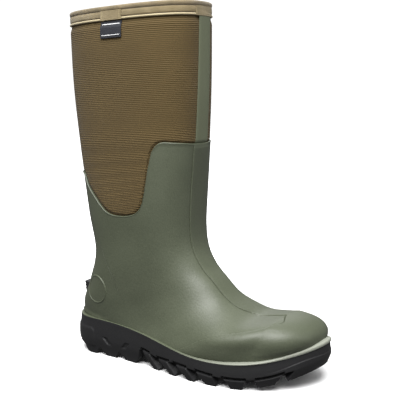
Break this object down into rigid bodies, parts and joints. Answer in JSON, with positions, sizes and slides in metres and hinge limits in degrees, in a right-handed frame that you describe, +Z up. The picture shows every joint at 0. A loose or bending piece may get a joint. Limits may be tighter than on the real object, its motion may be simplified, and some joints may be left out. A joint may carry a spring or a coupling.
{
  "type": "insulated pull-on hunting boot",
  "caption": "Tall insulated pull-on boot for a right foot, with a rubber shell, a ribbed fabric shaft and a lugged sole.",
  "frame": {"origin": "on the floor, under the middle of the boot's bounding box", "axes": "+X towards the toe, +Y towards the inner side of the foot, +Z up the shaft"},
  "size_m": [0.307, 0.126, 0.3871],
  "materials": {
    "green_rubber": "satin olive green moulded rubber with a fine mottled grain",
    "black_rubber": "matte black outsole rubber",
    "brown_knit": "brown knitted facing with fine horizontal ribs",
    "collar_webbing": "khaki folded binding tape",
    "piping_cord": "pale khaki corded edge",
    "label_weave": "black woven label",
    "neoprene": "closed-cell foam rubber",
    "lining_cloth": "brushed knit lining",
    "eva_foam": "matte moulded foam",
    "fibre_board": "matte pressed fibre board",
    "shank_composite": "glass-fibre composite"
  },
  "bodies": {
    "boot": {"outsole": "black_rubber", "sole_bead": "green_rubber", "midsole": "eva_foam", "shank": "shank_composite", "rubber_shell": "green_rubber", "kick_tab": "black_rubber", "heel_counter": "fibre_board", "toe_puff": "fibre_board", "insole_board": "fibre_board", "facing_sleeve": "brown_knit", "front_seam_strip": "green_rubber", "insulation_bootie": "neoprene", "lining_sock": "lining_cloth", "collar_binding": "collar_webbing", "collar_tape": "collar_webbing", "collar_piping": "piping_cord", "side_patch": "collar_webbing", "front_patch": "collar_webbing"},
    "footbed": {"footbed_foam": "eva_foam", "footbed_cover": "lining_cloth"},
    "label": {"woven_label": "label_weave"}
  },
  "joints": [
    {"name": "footbed_lift", "type": "hinge", "parent": "boot", "child": "footbed", "pos_m": [0.1285, 0, 0.04], "axis": [0, 1, 0], "range_deg": [0, 5]},
    {"name": "label_flap", "type": "hinge", "parent": "boot", "child": "label", "pos_m": [-0.0732, -0.0479, 0.3669], "axis": [-0.9988, 0.0041, -0.0483], "range_deg": [0, 90]}
  ]
}
